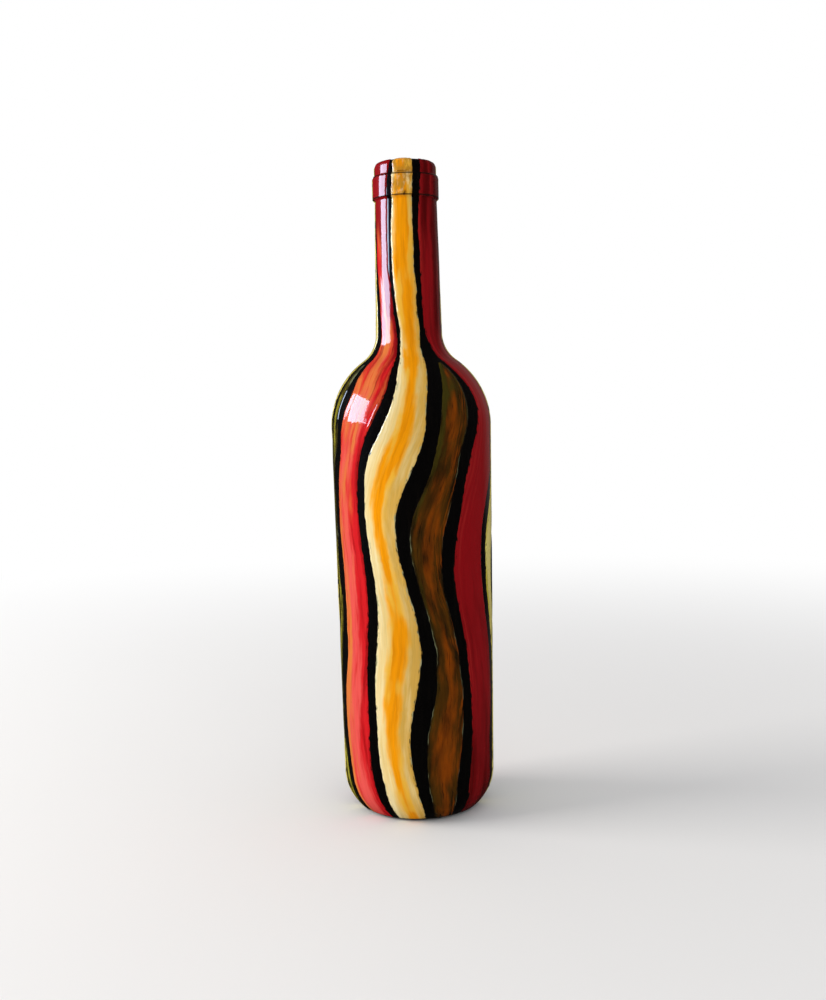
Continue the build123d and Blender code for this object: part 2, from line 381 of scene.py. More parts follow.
def outside_arcs(shape, wrap, end_radius):
    """Arcs of the outside, from the heel's tight arc up to the rim, where it ends at a radius."""
    shoulder = shoulder_centre(shape)
    reach = shape.heel_radius - shape.heel_foot_radius
    body_line = along(shoulder, -shape.body_lean) + shape.shoulder_radius
    heel_height = shape.heel_foot_radius + reach * math.sin(shape.heel_turn)
    heel = on_line(body_line - shape.heel_radius, -shape.body_lean, heel_height)
    foot = polar(heel, reach, -shape.heel_turn)

    collar_bottom = GLASS_TOP.z - shape.finish_height
    neck_radius = BORE_RADIUS + shape.neck_wall
    collar_radius = neck_radius + shape.collar_step
    lip_radius = collar_radius - shape.lip_step
    neck_line = along((neck_radius, collar_bottom), shape.neck_lean)
    turn = root_turn(neck_line, shape.neck_lean, shape.root_radius, shoulder, shape.shoulder_radius)
    root = polar(shoulder, shape.shoulder_radius + shape.root_radius, turn)

    # the collar's lower step: a hollow out of the neck, then a round into its band
    out = step_turn(shape.collar_step, shape.collar_hollow, shape.collar_round)
    both = shape.collar_hollow + shape.collar_round
    rise = both * math.sin(out)
    under = on_line(neck_line + shape.collar_hollow, shape.neck_lean, collar_bottom - rise / 2)
    over = polar(under, both, HALF_TURN - out)
    # the step back to the lip: a round off the band, then a hollow
    back = step_turn(shape.lip_step, shape.lip_hollow, shape.collar_shoulder)
    edge = np.array([collar_radius - shape.collar_shoulder, collar_bottom + shape.collar_height])
    notch = polar(edge, shape.lip_hollow + shape.collar_shoulder, back)
    lip = np.array([lip_radius - shape.lip_edge, GLASS_TOP.z - shape.lip_edge])
    rim = np.array([end_radius, GLASS_TOP.z])
    return [
        (foot, shape.heel_foot_radius, -shape.heel_turn - wrap, -shape.heel_turn, 1),
        (heel, shape.heel_radius, -shape.heel_turn, -shape.body_lean, 1),
        (shoulder, shape.shoulder_radius, -shape.body_lean, turn, 1),
        (root, shape.root_radius, turn + HALF_TURN, shape.neck_lean + HALF_TURN, -1),
        (under, shape.collar_hollow, shape.neck_lean + HALF_TURN, HALF_TURN - out, -1),
        (over, shape.collar_round, -out, 0, 1),
        (edge, shape.collar_shoulder, 0, back, 1),
        (notch, shape.lip_hollow, back + HALF_TURN, HALF_TURN, -1),
        (lip, shape.lip_edge, 0, QUARTER_TURN, 1),
        (rim, 0.0, QUARTER_TURN, QUARTER_TURN, 1),
    ]


def glass_arcs(shape):
    """Arcs of the whole section: push-up, outside, mouth and inside, from the axis back to the axis."""
    corner = np.array([shape.bearing_radius - shape.bearing_width, shape.punt_edge])
    # the push-up's dome has its top on the axis and meets the round at the ring
    top = shape.punt_depth + shape.punt_edge
    dome_height = (top**2 - corner @ corner) / (2 * (top - corner[1]))
    dome = np.array([0.0, dome_height])
    dome_radius = shape.punt_depth - dome_height
    dome_turn = math.atan((corner[1] - dome_height) / corner[0])

    outside = outside_arcs(shape, QUARTER_TURN - shape.heel_turn, BORE_RADIUS + shape.mouth_edge)

    mouth = np.array([BORE_RADIUS + shape.mouth_edge, GLASS_TOP.z - shape.mouth_edge])
    bore_foot = np.array([BORE_RADIUS, mouth[1] - BORE_LENGTH])
    shoulder = shoulder_centre(shape)
    inner_radius = shape.shoulder_radius - shape.body_wall
    throat_line = along(bore_foot, shape.throat_lean)
    turn = root_turn(throat_line, shape.throat_lean, shape.throat_root_radius, shoulder, inner_radius)
    root = polar(shoulder, inner_radius + shape.throat_root_radius, turn)

    # the floor's dome lies over the push-up's, and the corner touches it and the body's inner wall
    floor_radius = dome_radius + shape.punt_wall
    wall_line = along(shoulder, -shape.body_lean) + inner_radius
    reach = floor_radius + shape.floor_corner
    gap = wall_line - shape.floor_corner - along(dome, -shape.body_lean)
    corner_turn = math.acos(gap / reach) - shape.body_lean
    floor_corner = polar(dome, reach, corner_turn)
    return [
        (dome, dome_radius, QUARTER_TURN, dome_turn, -1),
        (corner, shape.punt_edge, dome_turn - HALF_TURN, -QUARTER_TURN, 1),
        *outside,
        (mouth, shape.mouth_edge, QUARTER_TURN, HALF_TURN, 1),
        (bore_foot, 0.0, HALF_TURN, HALF_TURN, 1),
        (root, shape.throat_root_radius, HALF_TURN + shape.throat_lean, HALF_TURN + turn, 1),
        (shoulder, inner_radius, turn, -shape.body_lean, -1),
        (floor_corner, shape.floor_corner, -shape.body_lean, corner_turn - HALF_TURN, -1),
        (dome, floor_radius, corner_turn, QUARTER_TURN, 1),
    ]


# Surfaces


def placed(name, data):
    """A new object in the scene."""
    thing = bpy.data.objects.new(name, data)
    bpy.context.scene.collection.objects.link(thing)
    return thing


def skin(name, grid, ends, maps=None):
    """A closed mesh from a grid of points, rows by columns, whose last column joins its first.

    Its end rows join each other, are a pole each, or get a cap each. Columns run to the right of rows,
    seen from outside. A UV map is a pair of grids that hold its two values at each point."""
    rows, columns = grid.shape[:2]
    points = grid.reshape(-1, 3)
    index = np.arange(rows * columns).reshape(rows, columns)
    index = np.concatenate([index, index[:, :1]], axis=1)
    place = np.arange(rows * (columns + 1)).reshape(rows, columns + 1)
    if ends == "join":
        index = np.concatenate([index, index[:1]])
        place = np.concatenate([place, place[:1]])
    if ends == "pole":
        # only one point of each end row is kept
        last = (rows - 1) * columns
        index = np.clip(index, columns - 1, last) - (columns - 1)
        points = points[columns - 1 : last + 1]

    def corners(table):
        four = [table[:-1, :-1], table[:-1, 1:], table[1:, 1:], table[1:, :-1]]
        return np.stack(four, axis=-1).reshape(-1, 4).tolist()

    faces, places = corners(index), corners(place)
    for numbers, table in ((index, faces), (place, places)):
        if ends == "pole":
            # a face at a pole has two corners in one point, so it loses one
            for number in range(columns):
                table[number] = table[number][1:]
                table[-1 - number] = table[-1 - number][:3]
        if ends == "cap":
            table += [numbers[0, :-1][::-1].tolist(), numbers[-1, :-1].tolist()]
    mesh = bpy.data.meshes.new(name)
    mesh.from_pydata(points.tolist(), [], faces)
    order = np.concatenate(places)
    for map_name, pair in (maps or {}).items():
        values = np.stack(pair, axis=-1)
        values = np.concatenate([values, values[:, :1]], axis=1).reshape(-1, 2)[order]
        layer = mesh.uv_layers.new(name=map_name)
        layer.data.foreach_set("uv", values.astype(np.float32).ravel())
    mesh.polygons.foreach_set("use_smooth", np.ones(len(mesh.polygons), bool))
    mesh.update()
    return placed(name, mesh)


def rows_along(arcs, step):
    """An outline fine enough to read places and directions off it, and rows a step apart along it."""
    outline = sample(arcs, LOOK_UP_STEP, math.radians(3))
    rows = sample(arcs, step)[2]
    return outline, rows / rows[-1] * outline[2][-1]


def lay(outline, run, turn, height):
    """Places on the bottle: distances run up an outline, turns from the front, heights over the outline."""
    points, normals, runs = outline
    out, up, facing_out, facing_up = (np.interp(run, runs, column) for column in (*points.T, *normals.T))
    radius = out + height * facing_out
    return np.stack([radius * np.sin(turn), -radius * np.cos(turn), up + height * facing_up], axis=-1)


def smooth_noise(x, y, seed):
    """Soft random waves from -1 to 1: random values on a square lattice, eased from one to the next."""
    table = np.random.default_rng(seed).uniform(-1, 1, (256, 256))
    column, row = np.floor(x).astype(int), np.floor(y).astype(int)
    ease_x, ease_y = eased(x - column), eased(y - row)

    def value(across, up):
        return table[(column + across) % 256, (row + up) % 256]

    low = value(0, 0) * (1 - ease_x) + value(1, 0) * ease_x
    high = value(0, 1) * (1 - ease_x) + value(1, 1) * ease_x
    return low * (1 - ease_y) + high * ease_y


def eased(value):
    """Rises from 0 to 1 without a corner."""
    value = np.clip(value, 0, 1)
    return value * value * (3 - 2 * value)


def swayed(degrees, height):
    """Where the waves carry a stripe's edge at a height: each adds a sine of the height and of the angle."""
    turn = degrees + 0 * height
    for sway, up, around, start in WAVES:
        phase = 2 * np.pi * (up * height / GLASS_TOP.z + start)
        turn = turn + sway * np.sin(phase + around * np.radians(turn))
    return np.radians(turn)


def bristles(look, across, run, seed):
    """Relief of brush marks along the stroke: fine ridges one bristle apart, and soft ones three apart."""
    fine = smooth_noise(across / look.ridge_spacing, run / look.ridge_length, seed)
    broad = smooth_noise(across / (3 * look.ridge_spacing), run / (1.5 * look.ridge_length), seed + 1)
    return look.ridge_height * (fine + 1.5 * broad)


def stroke_edges(body, neck, look, outline, rows, seed):
    """Turns of a stroke's two edges at each row: from those on the body to those on the neck, or to a tip
    where it has none there, carried round by the waves and ragged by a soft and a fine noise."""
    points, _, runs = outline
    radius = np.interp(rows, runs, points[:, 0])
    height = np.interp(rows, runs, points[:, 1])
    spread = eased((height - SPREAD_FOOT) / (SPREAD_HEIGHT - SPREAD_FOOT))
    turns = [low + spread * (high - low) for low, high in zip(body, neck or body)]
    if neck is None:
        climb = np.clip((height - TIP_FOOT) / (TIP_HEIGHT - TIP_FOOT), 0, 1)
        middle = (turns[0] + turns[1]) / 2
        turns = [middle + (turn - middle) * np.sqrt(1 - climb**2) for turn in turns]
    edges = []
    for side, turn in enumerate(turns):
        wobble = 0
        for number, (step, share) in enumerate(WOBBLES):
            wobble = wobble + share * smooth_noise(rows / step, side + 0.5, seed + number)
        edges.append(swayed(turn, height) + look.edge_wobble * wobble / radius)
    return edges


def paint_film(name, shape, look, carrier, core=None):
    """Lays a stroke of paint on the ground coat, or a core on the stroke that carries it.

    Its thickness rises smoothly from nothing at its edges and ends to a slight bead, with bristle marks. A
    core follows its carrier's marks and fades out over a wide edge. The map "stroke" holds metres across
    the carrier from its middle and along it. The maps "band" and "own" hold the share across the carrier
    and the film itself, with the distance to its edge in millimetres."""
    arcs = outside_arcs(shape, look.stripe_wrap, BORE_RADIUS + shape.mouth_edge + look.rim_gap)
    outline, rows = rows_along(arcs, STROKE_STEP)
    points, _, runs = outline
    body, neck, _ = STRIPES[carrier]
    if neck is None:
        rows = rows * np.interp(TIP_HEIGHT - TIP_GAP, points[:, 1], runs) / rows[-1]
    seed = 20 * list(STRIPES).index(carrier)
    left, right = stroke_edges(body, neck, look, outline, rows, seed)
    own_left, own_right, margin = left, right, look.edge_slope
    if core:
        own_left, own_right = stroke_edges(*CORES[core][:2], look, outline, rows, seed + 7)
        margin = look.core_feather
        half = margin / 2 / np.interp(rows, runs, points[:, 0])
        own_left, own_right = own_left - half, own_right + half

    top = (1 - np.cos(np.linspace(0, np.pi, look.across_cells + 1))) / 2
    # the underside, hidden in what carries it, needs fewer columns
    under = np.linspace(1, 0, look.across_cells // 6)
    share = np.concatenate([top, under])[None, :]
    on_top = (np.arange(share.size) <= look.across_cells)[None, :]
    column = rows[:, None]
    turn = own_left[:, None] * (1 - share) + own_right[:, None] * share
    # both ends of the stroke are ragged too
    foot = FOOT_RAG * (1 + smooth_noise(share * RAGS_ACROSS, 0.5, seed + 2)) / 2
    rim = RIM_RAG * (1 + smooth_noise(share * RAGS_ACROSS, 0.5, seed + 3)) / 2
    run = column + foot * np.clip(1 - column / FOOT_FADE, 0, 1)
    run = run - rim * np.clip(1 - (rows[-1] - column) / RIM_FADE, 0, 1)

    carrier_share = (turn - left[:, None]) / (right - left)[:, None]
    radius = np.interp(run, runs, points[:, 0])
    carrier_width = radius * (right - left)[:, None]
    own_width = radius * (own_right - own_left)[:, None]
    across = (carrier_share - 0.5) * carrier_width
    carrier_edge = np.minimum(carrier_share, 1 - carrier_share) * carrier_width
    own_edge = np.minimum(share, 1 - share) * own_width
    ends = eased((run - run[:1]) / FOOT_SLOPE) * eased((run[-1:] - run) / RIM_SLOPE)
    bead = BEAD_SHARE * np.exp(-(((carrier_edge - BEAD_INSET) / BEAD_WIDTH) ** 2))
    film = (STRIPE_TOP.z - COAT_TOP.z) * (1 - BEAD_SHARE + bead) + bristles(look, across, run, seed + 4)
    height = COAT_TOP.z - GLASS_TOP.z + film * eased(carrier_edge / look.edge_slope) * ends
    if core:
        rise = (CORE_TOP.z - STRIPE_TOP.z) * eased(own_edge / margin) * ends
        height = np.where(on_top, height + rise - RIM_SINK, height - CORE_SINK)
    else:
        height = np.where(on_top, height - RIM_SINK, COAT_TOP.z - GLASS_TOP.z - STRIPE_SINK)

    maps = {
        "stroke": (across, run),
        "band": (carrier_share, carrier_edge / MM),
        "own": (share + 0 * run, own_edge / MM),
    }
    return skin(name, lay(outline, run, turn, height), "cap", maps)


def ground_film(name, shape, look):
    """Lays the ground coat all over the outside, with a ragged lower edge that thins out at the heel."""
    arcs = outside_arcs(shape, look.coat_wrap, BORE_RADIUS + shape.mouth_edge)
    outline, rows = rows_along(arcs, COAT_STEP)
    outer = rows[:, None]
    # the inner side, hidden on the glass, needs fewer rows
    inner = np.append(rows[:-1:3], rows[-1])[::-1, None]
    turn = np.linspace(-np.pi, np.pi, COAT_COLUMNS, endpoint=False)[None, :]
    around = turn * GLASS_TOP.x / MM
    soft = 0.6 * smooth_noise(around / 3, 0.5, 901)
    fine = 0.4 * smooth_noise(around / 0.9, 0.5, 902)
    ragged = COAT_RAG * (1 + soft + fine) / 2
    film = (COAT_TOP.z - GLASS_TOP.z) * eased(COAT_RIM + outer / COAT_SLOPE)
    grids = []
    for column, height in ((outer, film), (inner, 0.0)):
        run = column + ragged * np.clip(1 - column / COAT_FADE, 0, 1)
        grids.append(lay(outline, run, turn + 0 * run, height + 0 * run))
    return skin(name, np.concatenate(grids), "join")


# Materials

# Noises along the strokes: cells in millimetres across and along, a seed, and detail if not 4
BRISTLES = (0.7, 16, 5.3)
STREAKS = (0.55, 15, 9.1)
DEEP_AMBER = (1.6, 24, 73, 2)
AMBER_EDGE = (2.6, 16, 71, 2)
AMBER_GAPS = (7, 30, 77, 1)
SMUDGE_SEED = 81
SEED_STEP = 3.7
# Values of a noise at which what it masks starts and is full
STREAK_ENDS = (0.3, 0.7)
DEEP_ENDS = (0.38, 0.8)
GAP_ENDS = (0.34, 0.5)
# In millimetres: how far the amber's edge strays, how much wider it is on the neck, how far full amber
# draws back in its gaps, and how far in from the edge the wash and the full amber start and are whole
AMBER_STRAY = (5.0, -2.5)
AMBER_NECK = 1.5
AMBER_BACK = 2.6
AMBER_WASH = (0.2, 3.6)
AMBER_FULL = (0.8, 4.2)
# Bump of the paint and of the varnish over it, as shares of the bristle marks' depth
PAINT_BUMP, VARNISH_BUMP = 0.5, 0.34
# Painted shade, as thin, broken lines in the ground's colour in the collar's step corners: how far over the
# foot and the top of the collar's band they lie, the cells of the noise that breaks them, their reach by
# that noise, and where they are full and how much of the ground's colour they show
STEP_SHADE_RISES = (0.5 * MM, 0.8 * MM)
STEP_SHADE_CELL = 2.5 * MM
STEP_SHADE_REACH = (1.5 * MM, -0.2 * MM)
STEP_SHADE_FULL = (0.1 * MM, 0.85)
# The ground coat's bristle marks round the bottle and up it, and where they thin it and how much
GROUND_CELLS = (0.8 * MM, 0.8 * MM, 22 * MM)
GROUND_THIN = (0.5, 0.75, 0.5)
# The glass: clouds in its colour, stipple under the foot, the heights between which that ends, and the
# depth of both marks
CLOUD_CELL, STIPPLE_CELL = 25 * MM, 1.1 * MM
STIPPLE_ENDS = (0.1 * MM, 0.4 * MM)
GLASS_MARKS = 0.15 * MM


def add_node(tree, kind, inputs=(), output=0, **settings):
    """Adds a shader node, applies its settings, and sets or links its inputs, given in order or by name.

    Returns the output asked for, or the node where it has none. Colours get full alpha."""
    node = tree.nodes.new("ShaderNode" + kind)
    for key, value in settings.items():
        setattr(node, key, value)
    for key, value in inputs.items() if isinstance(inputs, dict) else enumerate(inputs):
        socket = node.inputs[key]
        if isinstance(value, bpy.types.NodeSocket):
            tree.links.new(value, socket)
        else:
            socket.default_value = (*value, 1) if socket.type == "RGBA" else value
    return node.outputs[output] if node.outputs else node


def brushed(tree, across, along, seed, detail=4):
    """Noise from 0 to 1, drawn out along the stroke: its cells are so many millimetres across and along."""
    place = add_node(tree, "UVMap", uv_map="stroke")
    place = add_node(tree, "VectorMath", [place, (across * MM, along * MM, 1)], operation="DIVIDE")
    place = add_node(tree, "VectorMath", [place, (0, 0, seed)], operation="ADD")
    return add_node(tree, "TexNoise", {"Vector": place, "Scale": 1.0, "Detail": detail})


def height_over_foot(tree):
    """How high a point lies, in metres."""
    return add_node(tree, "SeparateXYZ", [add_node(tree, "TexCoord", output="Object")], 2)


def height_share(tree):
    """How far up the bottle a point lies, from -0.5 to 0.5."""
    return add_node(tree, "MapRange", [height_over_foot(tree), 0.0, GLASS_TOP.z, -0.5, 0.5])


def band_places(tree):
    """How far a point lies across its stroke, in its middle, at an edge and up, each from -0.5 to 0.5."""
    share = add_node(tree, "SeparateXYZ", [add_node(tree, "UVMap", uv_map="band")])
    inset = share.node.outputs[1]
    share = add_node(tree, "Math", [share, 0.5], operation="SUBTRACT")
    off = add_node(tree, "Math", [share], operation="ABSOLUTE")
    middle = add_node(tree, "Math", [off, -2.0, 0.5], operation="MULTIPLY_ADD")
    edge = add_node(tree, "MapRange", [inset, 0.0, EDGE_REACH, 0.5, -0.5])
    return share, middle, edge, height_share(tree)


def cover(tree, shade, tint, mask, low, high, most=1.0):
    """Lays a tint over a shade where a mask is high: nothing at its low value, most at its high one."""
    share = add_node(tree, "MapRange", [mask, low, high, 0.0, most], interpolation_type="SMOOTHSTEP")
    return add_node(tree, "Mix", {0: share, 6: shade, 7: tint}, 2, data_type="RGBA")


def layered(tree, look, shade, layers, seed, places):
    """Brushes colours over a shade, each where its noise, moved by a point's places, is high."""
    for number, (tint, cell, weights, low, high) in enumerate(layers):
        mask = brushed(tree, *cell, seed + SEED_STEP * number)
        for place, weight in zip(places, weights):
            if weight:
                mask = add_node(tree, "Math", [place, weight, mask], operation="MULTIPLY_ADD")
        shade = cover(tree, shade, getattr(look, tint), mask, low, high)
    return shade


def step_shade(tree, shape, look, shade):
    """Paints shade in thin, broken lines of the ground's colour at the collar's foot and at the step under
    the lip.
    """
    place = add_node(tree, "TexCoord", output="Object")
    broken = add_node(tree, "TexNoise", {"Vector": place, "Scale": 1 / STEP_SHADE_CELL, "Detail": 3.0})
    reach = add_node(tree, "Math", [broken, *STEP_SHADE_REACH], operation="MULTIPLY_ADD")
    collar_foot = GLASS_TOP.z - shape.finish_height
    for level, rise in zip((collar_foot, collar_foot + shape.collar_height), STEP_SHADE_RISES):
        off = add_node(tree, "Math", [height_over_foot(tree), level + rise], operation="SUBTRACT")
        off = add_node(tree, "Math", [off], operation="ABSOLUTE")
        shade = cover(tree, shade, look.black_thin, off, reach, *STEP_SHADE_FULL)
    return shade


def streaked(tree, look, shade):
    """Darkens a colour along streaks one bristle wide."""
    streaks = add_node(tree, "MapRange", [brushed(tree, *STREAKS), *STREAK_ENDS, 1 - look.streak_depth, 1.0])
    streaks = add_node(tree, "CombineColor", [streaks, streaks, streaks])
    return add_node(tree, "Mix", {0: 1.0, 6: shade, 7: streaks}, 2, data_type="RGBA", blend_type="MULTIPLY")


def amber_over(tree, look, shade):
    """Amber blended wet into the cream: full and streaked in the core's middle, washed out at its edges."""
    inset = add_node(tree, "SeparateXYZ", [add_node(tree, "UVMap", uv_map="own")], 1)
    stray = add_node(tree, "Math", [brushed(tree, *AMBER_EDGE), *AMBER_STRAY], operation="MULTIPLY_ADD")
    inset = add_node(tree, "Math", [inset, stray], operation="ADD")
    # on the neck the amber reaches further towards the core's edges
    fuller = add_node(tree, "MapRange", [height_share(tree), *NECK_SHARES, 0.0, AMBER_NECK])
    inset = add_node(tree, "Math", [inset, fuller], operation="ADD")
    # the wash reaches further out than the full amber, which gives way to it in places
    gaps = [brushed(tree, *AMBER_GAPS), *GAP_ENDS, AMBER_BACK, 0.0]
    gaps = add_node(tree, "MapRange", gaps, interpolation_type="SMOOTHSTEP")
    deeper = add_node(tree, "Math", [inset, gaps], operation="SUBTRACT")
    amber = cover(tree, look.amber, look.amber_deep, brushed(tree, *DEEP_AMBER), *DEEP_ENDS)
    amber = streaked(tree, look, amber)
    shade = cover(tree, shade, look.amber_light, inset, *AMBER_WASH)
    return cover(tree, shade, amber, deeper, *AMBER_FULL)


def new_material(name):
    """An empty node material and its tree, with a socket to take the finished surface."""
    material = bpy.data.materials.new(name)
    material.use_nodes = True
    tree = material.node_tree
    tree.nodes.clear()
    return material, tree, add_node(tree, "OutputMaterial").inputs["Surface"]


def varnished(tree, surface, look, shade, marks):
    """Paint under clear gloss varnish: the bristle marks shape the paint, and more faintly the varnish.

    The varnish wets the paint, so only the varnish shines."""
    bumps = [
        add_node(tree, "Bump", {"Height": marks, "Strength": strength, "Distance": look.ridge_height})
        for strength in (PAINT_BUMP, VARNISH_BUMP)
    ]
    inputs = {
        "Base Color": shade,
        "Roughness": 0.42,
        "Specular IOR Level": 0.02,
        "Normal": bumps[0],
        "Coat Weight": 1.0,
        "Coat Roughness": 0.06,
        "Coat IOR": 1.5,
        "Coat Normal": bumps[1],
    }
    tree.links.new(add_node(tree, "BsdfPrincipled", inputs), surface)


def paint_material(shape, look, paint):
    """Acrylic paint brushed on in one stroke, under gloss varnish."""
    name = paint.capitalize().replace("_", " ") + " acrylic paint under gloss varnish"
    material, tree, surface = new_material(name)
    base = "cream" if paint == "amber" else paint
    seed = 10 * list(PAINTS).index(base)
    shade = layered(tree, look, getattr(look, base), PAINTS[base], seed, band_places(tree))
    shade = streaked(tree, look, shade)
    if paint == "amber":
        shade = amber_over(tree, look, shade)
    if base == "cream":
        # the loaded brush ran out on the collar and lip, and took up some of the ground
        on_finish = add_node(tree, "MapRange", [height_share(tree), *FINISH_SHARES, -1.0, 0.0])
        shade = layered(tree, look, shade, SMUDGES, SMUDGE_SEED, [on_finish])
    # painted shade: thin dark lines at the collar's steps, laid over the paint under the varnish
    varnished(tree, surface, look, step_shade(tree, shape, look, shade), brushed(tree, *BRISTLES))
    return material


def ground_material(look):
    """Black acrylic ground under gloss varnish, with bristle marks that run up the bottle."""
    material, tree, surface = new_material("Black acrylic paint under gloss varnish")
    place = add_node(tree, "TexCoord", output="Object")
    place = add_node(tree, "VectorMath", [place, GROUND_CELLS], operation="DIVIDE")
    marks = add_node(tree, "TexNoise", {"Vector": place, "Scale": 1.0, "Detail": 3.0})
    shade = cover(tree, look.black, look.black_thin, marks, *GROUND_THIN)
    varnished(tree, surface, look, shade, marks)
    return material


def glass_material(look):
    """Dark green bottle glass, a little uneven in colour and surface, and stippled under its foot."""
    material, tree, surface = new_material("Dark green bottle glass")
    place = add_node(tree, "TexCoord", output="Object")
    cloud = add_node(tree, "TexNoise", {"Vector": place, "Scale": 1 / CLOUD_CELL})
    colours = {0: cloud, 6: look.glass_green, 7: look.glass_green_deep}
    low = add_node(tree, "MapRange", [height_over_foot(tree), *STIPPLE_ENDS, 1.0, 0.0])
    dots = add_node(tree, "TexVoronoi", {"Vector": place, "Scale": 1 / STIPPLE_CELL})
    stipple = add_node(tree, "Math", [dots, low], operation="MULTIPLY")
    waves = add_node(tree, "Math", [cloud, 0.4, stipple], operation="MULTIPLY_ADD")
    inputs = {
        "Base Color": add_node(tree, "Mix", colours, 2, data_type="RGBA"),
        "Roughness": 0.03,
        "IOR": 1.52,
        "Transmission Weight": 1.0,
        "Normal": add_node(tree, "Bump", {"Height": waves, "Strength": 0.5, "Distance": GLASS_MARKS}),
    }
    tree.links.new(add_node(tree, "BsdfPrincipled", inputs), surface)
    return material


def seen(tree):
    """1 for what the camera sees, straight or through glass, and 0 for light that falls on things."""
    straight = add_node(tree, "LightPath", output="Is Camera Ray")
    through = straight.node.outputs["Is Transmission Ray"]
    return add_node(tree, "Math", [straight, through], operation="MAXIMUM")


def floor_material(floor_colour):
    """Matt pale floor, a little uneven, that the camera sees pass into the white surround."""
    material, tree, surface = new_material("Matt pale floor")
    fade_start, fade_end = 0.12, 0.9
    place = add_node(tree, "TexCoord", output="Object")
    cloud = add_node(tree, "TexNoise", {"Vector": place, "Scale": 3.0})
    darker = [0.96 * part for part in floor_colour]
    shade = add_node(tree, "Mix", {0: cloud, 6: floor_colour, 7: darker}, 2, data_type="RGBA")
    matt = add_node(tree, "BsdfPrincipled", {"Base Color": shade, "Roughness": 0.9})
    white = add_node(tree, "Emission", [(1, 1, 1), 1.0])
    away = add_node(tree, "VectorMath", [place], "Value", operation="LENGTH")
    away = add_node(tree, "MapRange", [away, fade_start, fade_end], interpolation_type="SMOOTHSTEP")
    away = add_node(tree, "Math", [away, seen(tree)], operation="MULTIPLY")
    tree.links.new(add_node(tree, "MixShader", [away, matt, white]), surface)
    return material


# Pieces


def finish_piece(piece, node, material):
    """Gives a piece its material, hides the CAD node that it stands for, and hangs the piece from the root
    body.
    """
    piece.data.materials.append(material)
    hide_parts(node)
    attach(piece, "root")


class BOTTLE_OT_add_glass(Operator):
    """Turn the glass bottle: outside, mouth, inside and push-up in one closed skin."""

    bl_idname = "bottle.add_glass"
    bl_label = "Add Glass Bottle"

    def execute(self, context):
        shape, look = context.scene.bottle_shape, context.scene.bottle_paint
        points, _, _ = sample(glass_arcs(shape), GLASS_STEP)
        turn = np.linspace(-np.pi, np.pi, GLASS_COLUMNS, endpoint=False)[None, :]
        radius, height = points[:, :1], points[:, 1:]
        grid = np.stack([radius * np.sin(turn), -radius * np.cos(turn), height + 0 * turn], axis=-1)
        finish_piece(skin("glass", grid, "pole"), "glass_bottle", glass_material(look))
        return {"FINISHED"}


class BOTTLE_OT_add_ground_coat(Operator):
    """Brush the black ground coat over the outside."""

    bl_idname = "bottle.add_ground_coat"
    bl_label = "Add Ground Coat"

    def execute(self, context):
        look = context.scene.bottle_paint
        piece = ground_film("ground_coat_film", context.scene.bottle_shape, look)
        finish_piece(piece, "ground_coat", ground_material(look))
        return {"FINISHED"}


class BOTTLE_OT_add_stripes(Operator):
    """Brush the stripes on, side by side, from the heel over the rim."""

    bl_idname = "bottle.add_stripes"
    bl_label = "Add Stripes"

    def execute(self, context):
        shape, look = context.scene.bottle_shape, context.scene.bottle_paint
        materials = {paint: paint_material(shape, look, paint) for paint in PAINTS}
        for node, (_, _, paint) in STRIPES.items():
            piece = paint_film(node.replace("band", "stroke"), shape, look, node)
            finish_piece(piece, node, materials[paint])
        return {"FINISHED"}


class BOTTLE_OT_add_cores(Operator):
    """Blend an amber core into each cream stripe."""

    bl_idname = "bottle.add_cores"
    bl_label = "Add Amber Cores"

    def execute(self, context):
        shape, look = context.scene.bottle_shape, context.scene.bottle_paint
        material = paint_material(shape, look, "amber")
        for node, (_, _, carrier) in CORES.items():
            piece = paint_film(node.replace("core", "core_stroke"), shape, look, carrier, node)
            finish_piece(piece, node, material)
        return {"FINISHED"}


class BOTTLE_OT_set_up_studio(Operator):
    """Put a pale floor, soft lamps, a plain surround and the camera around the bottle."""

    bl_idname = "bottle.set_up_studio"
    bl_label = "Set Up Studio"

    def execute(self, context):
        studio = context.scene.bottle_studio
        set_surround(context.scene)
        floor = add_floor(studio)
        lamps = add_lamps(studio)
        context.scene.camera = add_camera(studio)
        context.scene.view_settings.view_transform = "Standard"
        return {"FINISHED"}


# The room that shiny surfaces see: its paler side, the cosines at which that starts and is full, and the
# strength of the dim and the pale part; and the strength of the light that falls on matt paint
ROOM_SIDE = (0.45, 0.85, 0.25)
ROOM_REACH = (0.8, 1.0)
ROOM_GLOW = (0.015, 0.14)
FILL_GLOW = 0.75


def set_surround(scene):
    """White to the camera, and to shiny surfaces a dim room, paler behind the bottle and to its right."""
    world = bpy.data.worlds.new("Soft surround")
    scene.world = world
    world.use_nodes = True
    tree = world.node_tree
    tree.nodes.clear()
    place = add_node(tree, "TexCoord", output="Generated")
    toward = add_node(tree, "VectorMath", [place, ROOM_SIDE], "Value", operation="DOT_PRODUCT")
    glow = [toward, *ROOM_REACH, *ROOM_GLOW]
    glow = add_node(tree, "MapRange", glow, interpolation_type="SMOOTHSTEP")
    room = add_node(tree, "Background", [linear("#f4efe9"), glow])
    fill = add_node(tree, "Background", [linear("#f7f8fb"), FILL_GLOW])
    white = add_node(tree, "Background", [(1, 1, 1), 1.0])
    glossy = add_node(tree, "LightPath", output="Is Glossy Ray")
    surround = add_node(tree, "MixShader", [glossy, fill, room])
    surround = add_node(tree, "MixShader", [seen(tree), surround, white])
    add_node(tree, "OutputWorld", [surround])


def add_floor(studio):
    """A wide pale floor, left out of the bottle's reflections."""
    half = 3.0
    mesh = bpy.data.meshes.new("floor")
    corners = [(-half, -half, 0), (half, -half, 0), (half, half, 0), (-half, half, 0)]
    mesh.from_pydata(corners, [], [(0, 1, 2, 3)])
    floor = placed("floor", mesh)
    floor.data.materials.append(floor_material(studio.floor_colour))
    floor.visible_glossy = False
    return floor


